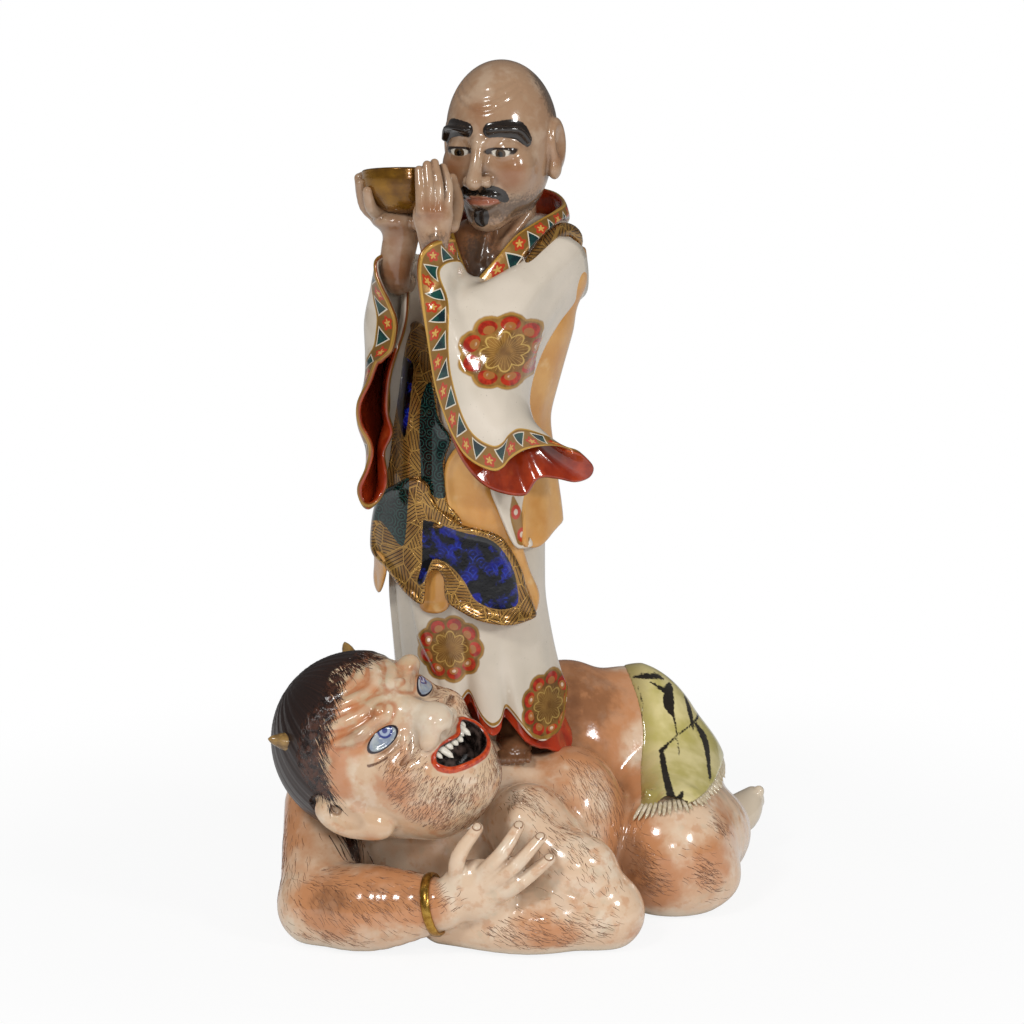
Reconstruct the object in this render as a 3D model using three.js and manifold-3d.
// Porcelain figure group: a robed monk lifting an alms bowl stands on the back of a crouching horned demon.
// The sections are cast or pressed one by one and luted together, so each is a solid of its own with a thin
// seam to its neighbours. Millimetres, +Z up, the front faces -Y, and the origin is under the middle of the foot.
import * as THREE from "three";
import { mergeVertices } from "three/addons/utils/BufferGeometryUtils.js";
import Module from "manifold-3d";

const wasm = await Module();
wasm.setup();

const v = (x, y, z) => new THREE.Vector3(x, y, z);

// Driving sizes of the pottery
const LUTE_GAP = 0.3; // seam between two luted sections
const WALL = 4.5; // wall of the hollow cast sections
const CLOTH = 4.5; // thickness of an applied sheet of drapery
const BASE_SLAB = 4; // slab that closes the demon's hollow from below
const SLAB_RADII = { x: 26, y: 21 };
const VENT_R = 4; // firing vents

// Demon's trunk: three swellings of one casting
const CHEST = { at: v(-24, -12, 26), r: v(54, 34, 47) };
const FLANK = { at: v(22, 32, 32), r: v(38, 34, 62) };
const RUMP = { at: v(49, 42, 32), r: v(36, 36, 61) };

// Demon's head, turned up to the viewer
const DEMON_HEAD = { across: 34, deep: 36, tall: 43 };
const DEMON_HEAD_TURN = { x: -12.2, y: -53.5, z: 37.2 }; // degrees
const DEMON_HEAD_FROM_CHEST = v(-26.6, -38, 50);
const DEMON_EAR_R = 13;
const MOUTH = { across: 15, tall: 10, deep: 14 };
const HAIR = 2; // relief of the combed hair
const HORN = { r: 5, tall: 9, peg: 5 };

// Demon's limbs: radii along each limb
const SHOULDER_R = 17;
const ELBOW_R = 15;
const FOREARM_R = 17;
const LEFT_SHOULDER_R = 19;
const LEFT_ARM_R = 21;
const LEFT_ELBOW_R = 18;
const WRIST_R = 10.5;
const PALM = { long: 15, wide: 13, thick: 6.5 };
const FINGER_R = 4.2;
const BRACELET = { thick: 1.8, wide: 3.2 };
const THIGH_R = 27;
const KNEE = { r: 26, across: 28 };
const CALF_R = 14;
const ANKLE_R = 9;
const FOOT = { long: 19, wide: 9, tall: 8 };

// Tiger-skin loincloth and its fringe
const HIDE = 2.6;
const HIDE_HEM = 46; // height of its lower edge
const FRINGE_TALL = 5;
const WAIST = { nx: 0.996, ny: 0.088, reach: 50.5 }; // vertical plane of the waist edge

// Monk: heights above the demon's back, and the sections of the skirt and the robe
const MONK_STAND = v(12, 12, -2); // from the top of the chest, sunk a little
const SKIRT_TALL = 92;
const ROBE_TALL = 108;
const NECK_TALL = 20;
const SKIRT_SECTIONS = [
  { up: 0, x: 0, y: 2, a: 36, b: 30 },
  { up: 0.33, x: -2, y: 1, a: 33, b: 28 },
  { up: 0.66, x: -6, y: 1, a: 32, b: 26 },
  { up: 1, x: -6, y: 1, a: 31, b: 25 },
];
const ROBE_SECTIONS = [
  { up: 0, x: -6, y: 1, a: 31, b: 25 },
  { up: 0.35, x: -1, y: 1, a: 31, b: 26 },
  { up: 0.7, x: 5, y: 2, a: 29, b: 24 },
  { up: 0.9, x: 9, y: 3, a: 20, b: 19 },
  { up: 1, x: 9, y: 3, a: 14, b: 13 },
];
const NECK_R = 12.5;
const CHEST_SKIN_R = 15;
const COLLAR = { wide: 6, thick: 2.6 };
const MONK_HEAD = { across: 21.5, deep: 25.5, tall: 33 };
const MONK_HEAD_TURN = { x: 8, y: 0, z: -22 }; // degrees
const MONK_EAR = { across: 4, deep: 7, tall: 10.5 };
const MONK_FOOT = { long: 15, wide: 8, tall: 6 };
const MONK_WRIST_R = 7;
const MONK_FOREARM_R = 10;
const MONK_PALM = { long: 12, wide: 10, thick: 5.5 };
const MONK_FINGER_R = 3.1;
const BOWL = { rim: 17, tall: 17, foot: 8, wall: 2.2 };
const SLEEVE_HOLLOW = 0.72; // share of a sleeve's ring that its open mouth takes

// How finely round forms are cut into facets
const SIDES = 14;
const RINGS = 5;
const LARGE_BALL = { around: 14, up: 8, above: 20 }; // for balls of more than this radius
const SMALL_BALL = { around: 9, up: 6 };
const END_RINGS = 2;
const WELD = 1e-4;
const FAR = 400;

// Glazes and enamels
const finish = (color, roughness, metalness) =>
  new THREE.MeshStandardMaterial({ color, roughness, metalness });
const SKIN = finish(0xd3ab8c, 0.2, 0);
const WHITE_GLAZE = finish(0xd9d3c8, 0.12, 0);
const GILT = finish(0x9a7429, 0.3, 1);
const BROCADE = finish(0x8f5a2a, 0.25, 0.4);
const GREEN_ENAMEL = finish(0x1c4a44, 0.15, 0);
const OCHRE = finish(0xc98f45, 0.2, 0);
const HIDE_YELLOW = finish(0xb7ad5e, 0.25, 0);
const HORN_TAN = finish(0x9a7236, 0.3, 0);
const BISCUIT = finish(0xd8cdb8, 0.7, 0);

// A closed three.js geometry as a solid that can be joined and cut
function solidOf(geometry) {
  const bare = geometry.index ? geometry.toNonIndexed() : geometry.clone();
  bare.deleteAttribute("normal");
  bare.deleteAttribute("uv");
  const merged = mergeVertices(bare, WELD);
  const vertProperties = merged.attributes.position.array;
  const triVerts = new Uint32Array(merged.index.array);
  return new wasm.Manifold(new wasm.Mesh({ numProp: 3, vertProperties, triVerts }));
}

function geometryOf(solid) {
  const { numProp, numVert, vertProperties, triVerts } = solid.getMesh();
  const positions = new Float32Array(numVert * 3);
  for (let i = 0; i < numVert; i++) {
    positions.set(vertProperties.subarray(i * numProp, i * numProp + 3), i * 3);
  }
  const geometry = new THREE.BufferGeometry();
  geometry.setAttribute("position", new THREE.BufferAttribute(positions, 3));
  geometry.setIndex(new THREE.BufferAttribute(new Uint32Array(triVerts), 1));
  geometry.computeVertexNormals();
  return geometry;
}

const join = (...solids) => solids.reduce((all, one) => all.add(one));

// The same solid with its skin moved out along the normals by a distance
function grown(solid, distance) {
  const geometry = geometryOf(solid);
  const positions = geometry.attributes.position;
  const normals = geometry.attributes.normal;
  for (let i = 0; i < positions.count; i++) {
    positions.setXYZ(
      i,
      positions.getX(i) + normals.getX(i) * distance,
      positions.getY(i) + normals.getY(i) * distance,
      positions.getZ(i) + normals.getZ(i) * distance,
    );
  }
  return solidOf(geometry);
}

// Rings of points, each anticlockwise seen from the far end, closed by a fan at both ends
function loft(rings) {
  const sides = rings[0].length;
  const points = rings.flat();
  const index = [];
  for (let i = 0; i + 1 < rings.length; i++) {
    for (let j = 0; j < sides; j++) {
      const a = i * sides + j;
      const b = i * sides + ((j + 1) % sides);
      index.push(a, b, b + sides, a, b + sides, a + sides);
    }
  }
  const centre = (ring) => ring.reduce((sum, p) => sum.add(p), v(0, 0, 0)).divideScalar(sides);
  const first = points.push(centre(rings[0])) - 1;
  const last = points.push(centre(rings.at(-1))) - 1;
  const top = (rings.length - 1) * sides;
  for (let j = 0; j < sides; j++) {
    const next = (j + 1) % sides;
    index.push(first, next, j, last, top + j, top + next);
  }
  return new THREE.BufferGeometry().setFromPoints(points).setIndex(index);
}

// Elliptical sections stacked up a height, swelled by an allowance
function stackedLoft(sections, tall, base, swell = 0) {
  const middle = new THREE.CatmullRomCurve3(sections.map((s) => v(s.x, s.y, base + s.up * tall)));
  const radii = new THREE.CatmullRomCurve3(sections.map((s) => v(s.a, s.b, 0)));
  const steps = 2 * (sections.length - 1);
  const rings = [];
  for (let i = 0; i <= steps; i++) {
    const c = middle.getPoint(i / steps);
    const r = radii.getPoint(i / steps);
    rings.push(ellipseRing(c, v(r.x + swell, 0, 0), v(0, r.y + swell, 0)));
  }
  return loft(rings);
}

function ellipseRing(centre, across, deep, sides = SIDES) {
  return Array.from({ length: sides }, (_, j) => {
    const turn = (2 * Math.PI * j) / sides;
    return centre.clone().addScaledVector(across, Math.cos(turn)).addScaledVector(deep, Math.sin(turn));
  });
}

// A round limb through points with a radius at each, and domed ends
function limb(points, radii, { sides = 10, steps = 5, flatten = 1 } = {}) {
  const path = new THREE.CatmullRomCurve3(points);
  const girth = new THREE.CatmullRomCurve3(radii.map((r) => v(r, 0, 0)));
  const { tangents, normals, binormals } = path.computeFrenetFrames(steps);
  const rings = [];
  const ringAt = (i, along, share) => {
    const r = girth.getPoint(i / steps).x;
    const centre = path.getPoint(i / steps).addScaledVector(tangents[i], along * r * flatten);
    const across = normals[i].clone().multiplyScalar(r * share);
    rings.push(ellipseRing(centre, across, binormals[i].clone().multiplyScalar(r * share * flatten), sides));
  };
  const dome = (k) => (k / END_RINGS) * (Math.PI / 2) * 0.9;
  for (let k = END_RINGS; k > 0; k--) ringAt(0, -Math.sin(dome(k)), Math.cos(dome(k)));
  for (let i = 0; i <= steps; i++) ringAt(i, 0, 1);
  for (let k = 1; k <= END_RINGS; k++) ringAt(steps, Math.sin(dome(k)), Math.cos(dome(k)));
  return solidOf(loft(rings));
}

// An ellipsoid, turned and placed
function ball(at, radii, turn = new THREE.Quaternion(), allowance = 0) {
  const { around, up } = Math.max(radii.x, radii.y, radii.z) > LARGE_BALL.above ? LARGE_BALL : SMALL_BALL;
  const geometry = new THREE.SphereGeometry(1, around, up);
  geometry.rotateX(Math.PI / 2);
  geometry.scale(radii.x + allowance, radii.y + allowance, radii.z + allowance);
  geometry.applyQuaternion(turn).translate(at.x, at.y, at.z);
  return solidOf(geometry);
}

// A box between two corners
function block(low, high) {
  const size = high.clone().sub(low);
  const middle = high.clone().add(low).multiplyScalar(0.5);
  return solidOf(new THREE.BoxGeometry(size.x, size.y, size.z).translate(middle.x, middle.y, middle.z));
}

// An upright elliptical plug
function plug(at, radii, tall) {
  const geometry = new THREE.CylinderGeometry(1, 1, tall, SIDES).rotateX(Math.PI / 2);
  geometry.scale(radii.x, radii.y, 1).translate(at.x, at.y, at.z + tall / 2);
  return solidOf(geometry);
}

const turned = ({ x, y, z }) =>
  new THREE.Quaternion().setFromEuler(
    new THREE.Euler(THREE.MathUtils.degToRad(x), THREE.MathUtils.degToRad(y), THREE.MathUtils.degToRad(z)),
  );

const from = (start, x, y, z) => start.clone().add(v(x, y, z));

// The scene: each section is trimmed by those already luted in place, with a seam between them
const group = new THREE.Group();
const demon = new THREE.Group();
const monk = new THREE.Group();
group.add(demon, monk);
const GROUND = block(v(-FAR, -FAR, -FAR), v(FAR, FAR, 0));
const luted = [];

// The forms are joined and the carvings taken away; later sections keep clear of the uncarved forms
function place(parent, name, material, forms, carvings = [], keepOut = forms) {
  let solid = join(...forms).subtract(GROUND);
  for (const carving of carvings) solid = solid.subtract(carving);
  for (const neighbour of luted) solid = solid.subtract(neighbour);
  luted.push(join(...keepOut.map((form) => form.add(grown(form, LUTE_GAP)))));
  const flashOff = solid.decompose().sort((a, b) => b.volume() - a.volume())[0];
  const geometry = geometryOf(flashOff);
  geometry.translate(-parent.position.x, -parent.position.y, -parent.position.z);
  const mesh = new THREE.Mesh(geometry, material);
  mesh.name = name;
  parent.add(mesh);
}

// Base slab with its vent, and the hollow trunk that it closes
const trunkBall = (part, allowance) => ball(part.at, part.r, undefined, allowance);
const trunkParts = [CHEST, FLANK, RUMP];
const trunk = trunkParts.map((part) => trunkBall(part, 0));
const hollow = join(...trunkParts.map((part) => trunkBall(part, -WALL))).subtract(
  block(v(-FAR, -FAR, -FAR), v(FAR, FAR, BASE_SLAB)),
);
const slabSeat = v(FLANK.at.x, FLANK.at.y, 0);
const vent = plug(v(slabSeat.x, slabSeat.y, -BASE_SLAB), { x: VENT_R, y: VENT_R }, 3 * BASE_SLAB);
const slab = plug(slabSeat, SLAB_RADII, BASE_SLAB);
place(demon, "base_slab", BISCUIT, [slab], [vent]);

const backTop = CHEST.at.z + CHEST.r.z;
monk.position.set(CHEST.at.x, CHEST.at.y, backTop).add(MONK_STAND);
const backVent = plug(v(monk.position.x, monk.position.y, CHEST.at.z), { x: VENT_R, y: VENT_R }, FAR);
place(demon, "demon_trunk", SKIN, trunk, [hollow, backVent]);

// Demon's head: horns on pegs, skull with jaw, nose, ears, hair and an open mouth
const headAt = CHEST.at.clone().add(DEMON_HEAD_FROM_CHEST);
const headTurn = turned(DEMON_HEAD_TURN);
const onHead = (x, y, z) => v(x, y, z).applyQuaternion(headTurn).add(headAt);
const neckRoot = from(CHEST.at, -12, -12, 28);
place(demon, "demon_neck", SKIN, [limb([neckRoot, headAt], [20, 22])]);

function horn(side) {
  const out = v(side * 0.62, -0.1, 0.78).normalize();
  const reach = 1 / Math.hypot(out.x / DEMON_HEAD.across, out.y / DEMON_HEAD.deep, out.z / DEMON_HEAD.tall);
  const profile = [
    [0, -HORN.peg],
    [HORN.r * 0.5, -HORN.peg],
    [HORN.r * 0.5, HAIR - LUTE_GAP],
    [HORN.r, HAIR - LUTE_GAP],
    [HORN.r * 0.62, HAIR + HORN.tall * 0.55],
    [0, HAIR + HORN.tall],
  ].map(([r, along]) => new THREE.Vector2(r, reach + along));
  const geometry = new THREE.LatheGeometry(profile, 14);
  geometry.applyQuaternion(new THREE.Quaternion().setFromUnitVectors(v(0, 1, 0), out));
  geometry.applyQuaternion(headTurn).translate(headAt.x, headAt.y, headAt.z);
  return solidOf(geometry);
}
place(demon, "demon_left_horn", HORN_TAN, [horn(1)]);
place(demon, "demon_right_horn", HORN_TAN, [horn(-1)]);

function placeDemonHead() {
  const { across, deep, tall } = DEMON_HEAD;
  const skull = ball(headAt, v(across, deep, tall), headTurn);
  const jaw = ball(onHead(0, -deep * 0.28, -tall * 0.42), v(across * 0.8, deep * 0.8, tall * 0.55), headTurn);
  const nose = ball(onHead(0, -deep * 1.0, -tall * 0.2), v(across * 0.3, deep * 0.22, tall * 0.2), headTurn);
  const brow = ball(onHead(0, -deep * 0.72, tall * 0.24), v(across * 0.72, deep * 0.3, tall * 0.2), headTurn);
  const ear = ball(onHead(-across, 0, -tall * 0.1), v(5, DEMON_EAR_R * 0.7, DEMON_EAR_R), headTurn);
  const hairCap = ball(headAt, v(across, deep, tall), headTurn, HAIR);
  const hairline = ball(onHead(0, -deep * 1.15, -tall * 0.35), v(across * 1.25, deep * 1.2, tall * 1.1), headTurn);
  const mouth = ball(onHead(0, -deep * 1.02, -tall * 0.56), v(MOUTH.across, MOUTH.deep, MOUTH.tall), headTurn);
  const face = [skull, jaw, nose, brow, ear];
  place(demon, "demon_head", SKIN, [...face, hairCap.subtract(hairline)], [mouth], [...face, hairCap]);
}
placeDemonHead();

// Demon's right arm, on the viewer's left: upper arm, forearm, hand and bracelet
const rightShoulder = from(CHEST.at, -50, -8, 22);
const rightElbow = v(rightShoulder.x - 1, rightShoulder.y - 33, ELBOW_R - 1);
const rightWrist = from(rightElbow, 48, -20, 7);
const rightBelly = rightElbow.clone().lerp(rightWrist, 0.42).add(v(0, -2, 0));
place(demon, "demon_right_upper_arm", SKIN, [limb([rightShoulder, rightElbow], [SHOULDER_R, ELBOW_R])]);
const rightLowerArm = limb([rightElbow, rightBelly, rightWrist], [ELBOW_R, FOREARM_R, WRIST_R]);
place(demon, "demon_right_forearm", SKIN, [rightLowerArm]);

// Demon's left arm, on the viewer's right, with its forearm along the ground
const leftShoulder = from(CHEST.at, 49, -15, 21);
const leftElbow = v(leftShoulder.x + 9, leftShoulder.y - 34, LEFT_ELBOW_R - 3);
const leftBiceps = leftShoulder.clone().lerp(leftElbow, 0.5).add(v(-3, 0, 0));
const leftBelly = from(leftElbow, -28, -8, -2);
const leftWrist = from(leftElbow, -60, 4, -4);
const leftUpperArm = limb([leftShoulder, leftBiceps, leftElbow], [LEFT_SHOULDER_R, LEFT_ARM_R, LEFT_ELBOW_R]);
place(demon, "demon_left_upper_arm", SKIN, [leftUpperArm]);
const leftLowerArm = limb([leftElbow, leftBelly, leftWrist], [ELBOW_R, ELBOW_R - 1, WRIST_R]);
place(demon, "demon_left_forearm", SKIN, [leftLowerArm]);

// A hand: a flat palm along a direction, and fingers given by their root and tip
function hand(wrist, palmAt, palmTurn, palm, fingers, fingerR) {
  const palmBall = ball(palmAt, v(palm.long, palm.thick, palm.wide), palmTurn);
  const bridge = limb([wrist, palmAt], [palm.thick, palm.thick], { sides: 6, steps: 2 });
  const rods = fingers.map(({ root, bend, tip }) =>
    limb([root, bend, tip], [fingerR * 1.1, fingerR, fingerR * 0.75], { sides: 6, steps: 2 }),
  );
  return [palmBall, bridge, ...rods];
}

const rightPalm = from(rightWrist, 12, -2, 11);
const demonFingers = [
  { root: from(rightWrist, 6, -4, 12), bend: from(rightWrist, 7, -6, 20), tip: from(rightWrist, 15, -4, 31) },
  { root: from(rightWrist, 19, -3, 18), bend: from(rightWrist, 25, -6, 25), tip: from(rightWrist, 29, -1, 32) },
  { root: from(rightWrist, 22, -4, 13), bend: from(rightWrist, 31, -6, 20), tip: from(rightWrist, 37, -1, 27) },
  { root: from(rightWrist, 23, -4, 7), bend: from(rightWrist, 33, -5, 13), tip: from(rightWrist, 40, -1, 18) },
];
const demonPalmTurn = turned({ x: 0, y: -42, z: -4 });
const demonHand = hand(rightWrist, rightPalm, demonPalmTurn, PALM, demonFingers, FINGER_R);
place(demon, "demon_right_hand", SKIN, demonHand);

const bandRun = rightWrist.clone().sub(rightBelly).normalize();
function bracelet() {
  const middle = rightBelly.clone().lerp(rightWrist, 0.86);
  const inner = WRIST_R * 0.9;
  const outer = WRIST_R + FOREARM_R * 0.1 + BRACELET.thick;
  const profile = [
    [inner, -BRACELET.wide / 2],
    [outer, -BRACELET.wide / 2],
    [outer + BRACELET.thick / 2, 0],
    [outer, BRACELET.wide / 2],
    [inner, BRACELET.wide / 2],
    [inner, -BRACELET.wide / 2],
  ].map(([r, along]) => new THREE.Vector2(r, along));
  const geometry = new THREE.LatheGeometry(profile, SIDES);
  geometry.applyQuaternion(new THREE.Quaternion().setFromUnitVectors(v(0, 1, 0), bandRun));
  return solidOf(geometry.translate(middle.x, middle.y, middle.z));
}
place(demon, "demon_bracelet", GILT, [bracelet()]);

const leftFingers = [-5, 0, 5].map((across) => ({
  root: from(leftWrist, -12, 2 - across, 2),
  bend: from(leftWrist, -20, 3 - across, 1),
  tip: from(leftWrist, -27, 6 - across, -2),
}));
const flatPalm = turned({ x: 90, y: 0, z: 0 });
const tuckedHand = hand(leftWrist, from(leftWrist, -9, 2, 0), flatPalm, PALM, leftFingers, FINGER_R);
place(demon, "demon_left_hand", SKIN, tuckedHand);

// Demon's legs, folded under: thigh, shin and foot on each side
function leg(side, hip, knee, ankle, toes) {
  const thigh = limb([hip, knee], [THIGH_R, KNEE.r - 2]);
  const kneecap = ball(knee, v(KNEE.across, KNEE.r, KNEE.r));
  place(demon, `demon_${side}_thigh`, SKIN, [thigh, kneecap]);
  const calf = knee.clone().lerp(ankle, 0.5);
  calf.z = CALF_R + 3;
  const shinTop = knee.clone().lerp(ankle, 0.16);
  place(demon, `demon_${side}_shin`, SKIN, [limb([shinTop, calf, ankle], [CALF_R, CALF_R + 1, ANKLE_R])]);
  const along = toes.clone().sub(ankle).normalize();
  const turn = new THREE.Quaternion().setFromUnitVectors(v(1, 0, 0), along);
  const sole = ball(ankle.clone().lerp(toes, 0.5), v(FOOT.long, FOOT.wide, FOOT.tall), turn);
  const toeAcross = v(0, 0, 1).cross(along).normalize();
  const toeRods = [-1.5, -0.5, 0.5, 1.5].map((n) => {
    const root = ankle.clone().lerp(toes, 0.85).addScaledVector(toeAcross, n * 4);
    return limb([root, root.clone().addScaledVector(along, 8)], [4, 3.2], { sides: 6, steps: 2 });
  });
  place(demon, `demon_${side}_foot`, SKIN, [sole, ...toeRods]);
}
const atRump = (x, y, z) => from(RUMP.at, x, y, z);
const leftHip = atRump(12, 0, 10);
const leftKnee = atRump(18, -49, -9);
leg("left", leftHip, leftKnee, atRump(37, 12, -17), atRump(49, 28, -12));
leg("right", atRump(-8, 10, 14), atRump(-30, 28, -8), atRump(16, 36, -18), atRump(36, 44, -14));

// Tiger-skin loincloth over the rump, and its fringe
const rumpCut = (allowance, low, high) => {
  const hips = limb([leftHip, leftKnee], [THIGH_R + allowance, KNEE.r - 2 + allowance]);
  const kneecap = ball(leftKnee, v(KNEE.across, KNEE.r, KNEE.r), undefined, allowance);
  const sheet = join(trunkBall(RUMP, allowance), trunkBall(FLANK, allowance), hips, kneecap);
  const waist = block(v(WAIST.reach, -FAR, low), v(FAR, FAR, high));
  const angle = Math.atan2(WAIST.ny, WAIST.nx);
  const behind = solidOf(geometryOf(waist).rotateZ(angle));
  return sheet.intersect(behind);
};
place(demon, "tiger_skin_loincloth", HIDE_YELLOW, [rumpCut(HIDE + LUTE_GAP, HIDE_HEM, FAR)]);
const fringe = rumpCut(HIDE + 1 + LUTE_GAP, HIDE_HEM - FRINGE_TALL, HIDE_HEM - LUTE_GAP);
place(demon, "loincloth_fringe", HIDE_YELLOW, [fringe]);

// Monk: everything from here stands in the monk's own frame, its origin on the demon's back
const stand = (geometry) => geometry.translate(monk.position.x, monk.position.y, monk.position.z);
const onMonk = (x, y, z) => v(x, y, z).add(monk.position);
const waistUp = SKIRT_TALL;
const neckUp = SKIRT_TALL + ROBE_TALL;
const headUp = neckUp + NECK_TALL + MONK_HEAD.tall * 0.55;

// Alms bowl, turned on a wheel
const bowlAt = onMonk(-29, -24, neckUp + 13);
function bowl(wall) {
  const { rim, tall, foot } = BOWL;
  const profile = [
    [0, wall],
    [foot - wall, wall],
    [rim * 0.84 - wall, tall * 0.42],
    [rim - wall, tall * 0.8],
    [rim * 0.97 - wall, tall + wall],
    [0, tall + wall],
  ].map(([r, up]) => new THREE.Vector2(r, up));
  const geometry = new THREE.LatheGeometry(profile, 2 * SIDES).rotateX(Math.PI / 2);
  return solidOf(geometry.translate(bowlAt.x, bowlAt.y, bowlAt.z));
}
place(monk, "alms_bowl", GILT, [bowl(0)], [bowl(BOWL.wall)]);

// Bare feet, skirt and robe
for (const [side, x, y, up] of [["left", 14, -19, -2], ["right", -10, -16, 1]]) {
  const at = onMonk(x, y, up);
  const toes = [-1, 0, 1].map((n) => ball(from(at, n * 4.6, -MONK_FOOT.long * 0.9, 0), v(2.8, 4, 3)));
  const sole = ball(at, v(MONK_FOOT.wide, MONK_FOOT.long, MONK_FOOT.tall));
  place(monk, `monk_${side}_foot`, SKIN, [sole, ...toes]);
}
const SKIRT_DIP = 8; // the hem hangs below the top of the back
const skirtLoft = (swell) =>
  solidOf(stand(stackedLoft(SKIRT_SECTIONS, SKIRT_TALL + SKIRT_DIP, -SKIRT_DIP, swell)));
const skirtHollow = SKIRT_SECTIONS.map((s) => ({ ...s, up: s.up * 1.1 - 0.05 }));
const skirtCore = solidOf(stand(stackedLoft(skirtHollow, SKIRT_TALL + SKIRT_DIP, -SKIRT_DIP, -WALL)));
place(monk, "robe_skirt", WHITE_GLAZE, [skirtLoft(0)], [skirtCore]);

const robeLoft = (swell) => solidOf(stand(stackedLoft(ROBE_SECTIONS, ROBE_TALL, waistUp + LUTE_GAP, swell)));
const robeCore = solidOf(stand(stackedLoft(ROBE_SECTIONS, ROBE_TALL * 1.1, waistUp - ROBE_TALL * 0.05, -WALL)));
const neckStem = limb([onMonk(9, 1, neckUp - 12), onMonk(9, -2, neckUp + NECK_TALL * 0.7)], [NECK_R, NECK_R]);
const breast = ball(onMonk(6, -8, neckUp - 20), v(CHEST_SKIN_R, CHEST_SKIN_R, CHEST_SKIN_R * 1.5));
place(monk, "monk_neck_and_chest", SKIN, [neckStem, breast]);
place(monk, "robe_body", WHITE_GLAZE, [robeLoft(0)], [robeCore]);

// Brocade collar: a ring round the back of the neck and two lapels that meet on the breast
function lapel(top, bottom) {
  const run = bottom.clone().sub(top);
  const outward = v(0, -1, 0).addScaledVector(run, run.y / run.lengthSq()).normalize();
  const basis = new THREE.Matrix4().makeBasis(run.clone().normalize(), outward, run.clone().normalize().cross(outward));
  const turn = new THREE.Quaternion().setFromRotationMatrix(basis);
  const radii = v(run.length() * 0.58, COLLAR.thick, COLLAR.wide);
  return ball(top.clone().lerp(bottom, 0.5), radii, turn);
}
const neckRing = new THREE.TorusGeometry(NECK_R + COLLAR.thick, COLLAR.thick + 1, 8, SIDES);
neckRing.applyQuaternion(turned({ x: 22, y: 0, z: 0 }));
const neckRingAt = onMonk(9, 2, neckUp - 1);
const collarForms = [
  solidOf(neckRing.translate(neckRingAt.x, neckRingAt.y, neckRingAt.z)),
  lapel(onMonk(21, -9, neckUp - 3), onMonk(3, -25, neckUp - 24)),
  lapel(onMonk(-4, -8, neckUp - 4), onMonk(-2, -24, neckUp - 26)),
];
place(monk, "robe_collar", BROCADE, collarForms);

// Monk's head: egg of the skull, jaw, nose and ears
const monkHeadAt = onMonk(8, -5, headUp);
const monkTurn = turned(MONK_HEAD_TURN);
function monkHead() {
  const { across, deep, tall } = MONK_HEAD;
  const onIt = (x, y, z) => v(x, y, z).applyQuaternion(monkTurn).add(monkHeadAt);
  const skull = ball(onIt(0, deep * 0.06, tall * 0.26), v(across, deep * 0.94, tall * 0.74), monkTurn);
  const jaw = ball(onIt(0, -deep * 0.2, -tall * 0.34), v(across * 0.82, deep * 0.72, tall * 0.66), monkTurn);
  const nose = ball(onIt(0, -deep * 0.94, -tall * 0.12), v(4, 4.5, 7), monkTurn);
  const earSize = v(MONK_EAR.across, MONK_EAR.deep, MONK_EAR.tall);
  const earAt = (side) => onIt(side * across * 0.98, deep * 0.1, -tall * 0.05);
  return [skull, jaw, nose, ball(earAt(1), earSize, monkTurn), ball(earAt(-1), earSize, monkTurn)];
}
place(monk, "monk_head", SKIN, monkHead());

// Forearms and hands that hold the bowl up between them
const underBowl = (x, y, up) => v(bowlAt.x + x, bowlAt.y + y, bowlAt.z + up);
const rightForearm = limb(
  [underBowl(4, 14, -62), underBowl(-1, 2, -30), underBowl(-2, -2, -10)],
  [MONK_FOREARM_R, MONK_FOREARM_R, MONK_WRIST_R],
);
const cup = (turn, reach, up) =>
  underBowl(Math.cos(turn) * reach, Math.sin(turn) * reach, up);
const cupFingers = (turns, reach, root, tip) =>
  turns.map((turn) => ({
    root: cup(turn, reach.root, root),
    bend: cup(turn, reach.bend, (root + tip) / 2),
    tip: cup(turn, reach.tip, tip),
  }));
const BEHIND_BOWL = { root: BOWL.rim * 0.6, bend: BOWL.rim * 0.92, tip: BOWL.rim };
const BEFORE_BOWL = { root: BOWL.rim + 2, bend: BOWL.rim + 3, tip: BOWL.rim + 2 };
const degrees = (list) => list.map((n) => THREE.MathUtils.degToRad(n));
const rightHand = hand(
  underBowl(-2, -2, -10),
  underBowl(-3, -1, -4),
  turned({ x: 80, y: 20, z: 0 }),
  MONK_PALM,
  cupFingers(degrees([125, 150, 175, 200]), BEHIND_BOWL, -3, BOWL.tall * 0.85),
  MONK_FINGER_R,
);
place(monk, "monk_right_forearm_and_hand", SKIN, [rightForearm, ...rightHand]);

const leftHandWrist = underBowl(12, -17, -16);
const leftForearm = limb(
  [onMonk(-3, -33, neckUp - 31), onMonk(-9, -37, neckUp - 17), leftHandWrist],
  [MONK_WRIST_R, MONK_WRIST_R, MONK_WRIST_R],
);
const leftHand = hand(
  leftHandWrist,
  underBowl(12, -20, -3),
  turned({ x: 0, y: 86, z: 30 }),
  MONK_PALM,
  cupFingers(degrees([-80, -62, -44, -26]), BEFORE_BOWL, 0, BOWL.tall * 1.15),
  MONK_FINGER_R,
);
place(monk, "monk_left_forearm_and_hand", SKIN, [leftForearm, ...leftHand]);

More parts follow.
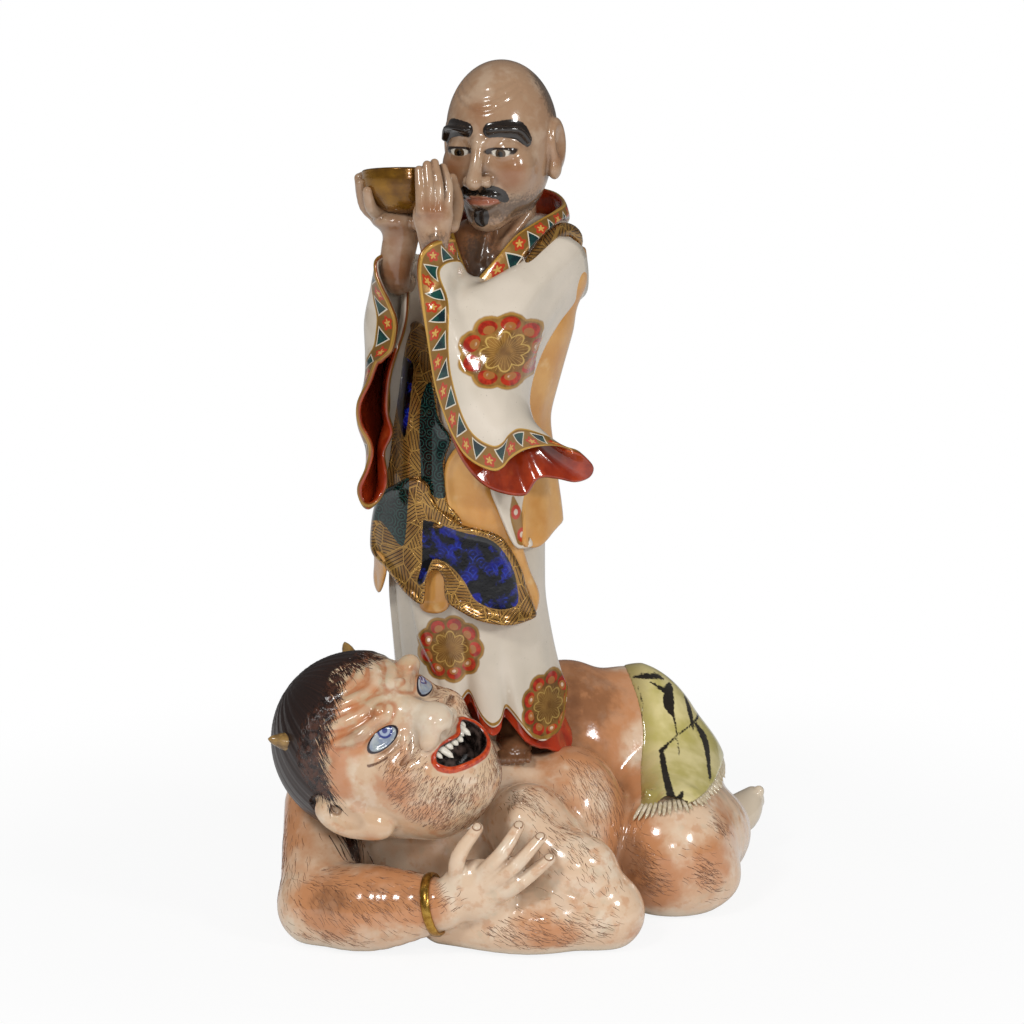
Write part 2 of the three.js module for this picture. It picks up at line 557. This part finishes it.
// Sleeves: bags through an armhole ring, a ring at the elbow and a long open mouth
function sleeve(rings) {
  const hoops = rings.map((points) => new THREE.CatmullRomCurve3(points, true));
  const ring = (t, share) => {
    const points = Array.from({ length: SIDES }, (_, j) => {
      const along = new THREE.CatmullRomCurve3(hoops.map((hoop) => hoop.getPoint(j / SIDES)));
      return along.getPoint(t);
    });
    const middle = points.reduce((sum, p) => sum.add(p), v(0, 0, 0)).divideScalar(SIDES);
    return points.map((p) => p.clone().lerp(middle, 1 - share));
  };
  const outer = Array.from({ length: RINGS + 1 }, (_, i) => ring(i / RINGS, 1));
  const inner = [0.6, 0.75, 0.9, 1].map((t) => ring(t, SLEEVE_HOLLOW));
  const beyond = inner[3].map((p, j) => p.clone().lerp(inner[2][j], -0.1));
  return { bag: solidOf(loft(outer)), mouth: solidOf(loft([...inner, beyond])) };
}
const atNeck = ([x, y, up]) => onMonk(x, y, neckUp + up);

const leftArmhole = [
  [20, 2, -8], [20, 10, -13], [26, 15, -18], [32, 12, -24],
  [35, 2, -28], [32, -8, -24], [26, -10, -18], [20, -7, -12],
].map(atNeck);
const leftElbowRing = [
  [-1, -30, -11], [1, -19, -24], [6, -16, -38], [13, -19, -52],
  [19, -30, -59], [17, -43, -50], [10, -51, -35], [2, -46, -18],
].map(atNeck);
const leftMouth = [
  [-18, -41, 4], [-16, -36, -33], [-5, -33, -82], [22, -24, -96],
  [43, -24, -87], [20, -50, -84], [-5, -54, -82], [-19, -52, -24],
].map(atNeck);
const left = sleeve([leftArmhole, leftElbowRing, leftMouth]);
const leftShoulderCap = ball(onMonk(23, 0, neckUp - 16), v(18.5, 16, 16));
place(monk, "left_sleeve", WHITE_GLAZE, [leftShoulderCap, left.bag], [left.mouth]);

const rightArmhole = [
  [-17, 0, -10], [-24, 6, -18], [-28, 12, -30], [-24, 12, -42],
  [-18, 8, -46], [-12, 2, -38], [-10, -4, -28], [-12, -4, -16],
].map(atNeck);
const rightElbowRing = [
  [-27, -16, -6], [-37, -12, -20], [-40, -8, -40], [-40, -8, -60],
  [-34, -8, -72], [-27, -10, -60], [-23, -14, -40], [-22, -18, -20],
].map(atNeck);
const rightMouth = [
  [-34, -30, -6], [-43, -31, -28], [-46, -30, -60], [-48, -28, -94],
  [-42, -23, -104], [-34, -16, -86], [-30, -17, -56], [-27, -24, -26],
].map(atNeck);
const right = sleeve([rightArmhole, rightElbowRing, rightMouth]);
place(monk, "right_sleeve", WHITE_GLAZE, [right.bag], [right.mouth]);

// Surplice across the front, and the ochre mantle down the back: sheets laid over the skirt and the robe
const SURPLICE = { hem: 52, front: 2, side: 26, top: 150 };
const MANTLE = { hem: 74, top: neckUp - 6 };
const wholeTall = SKIRT_TALL + ROBE_TALL;
const dressSections = [
  ...SKIRT_SECTIONS.map((s) => ({ ...s, up: (s.up * SKIRT_TALL) / wholeTall })),
  ...ROBE_SECTIONS.slice(1).map((s) => ({ ...s, up: (SKIRT_TALL + s.up * ROBE_TALL) / wholeTall })),
];
const sheet = (region) =>
  solidOf(stand(stackedLoft(dressSections, wholeTall, 0, CLOTH + LUTE_GAP))).intersect(region);
const surpliceRegion = block(onMonk(-FAR, -FAR, SURPLICE.hem), onMonk(SURPLICE.side, SURPLICE.front, SURPLICE.top));
place(monk, "surplice", GREEN_ENAMEL, [sheet(surpliceRegion)]);
const mantleBack = SURPLICE.front + LUTE_GAP;
const mantleRegion = block(onMonk(-FAR, mantleBack, MANTLE.hem), onMonk(FAR, FAR, MANTLE.top));
place(monk, "mantle", OCHRE, [sheet(mantleRegion)]);

// The group stands on the floor with its origin under the middle of its outline
const outline = new THREE.Box3().setFromObject(group);
group.position.set(-(outline.min.x + outline.max.x) / 2, -(outline.min.y + outline.max.y) / 2, -outline.min.z);
const figureGroup = new THREE.Group();
figureGroup.add(group);

export default figureGroup;
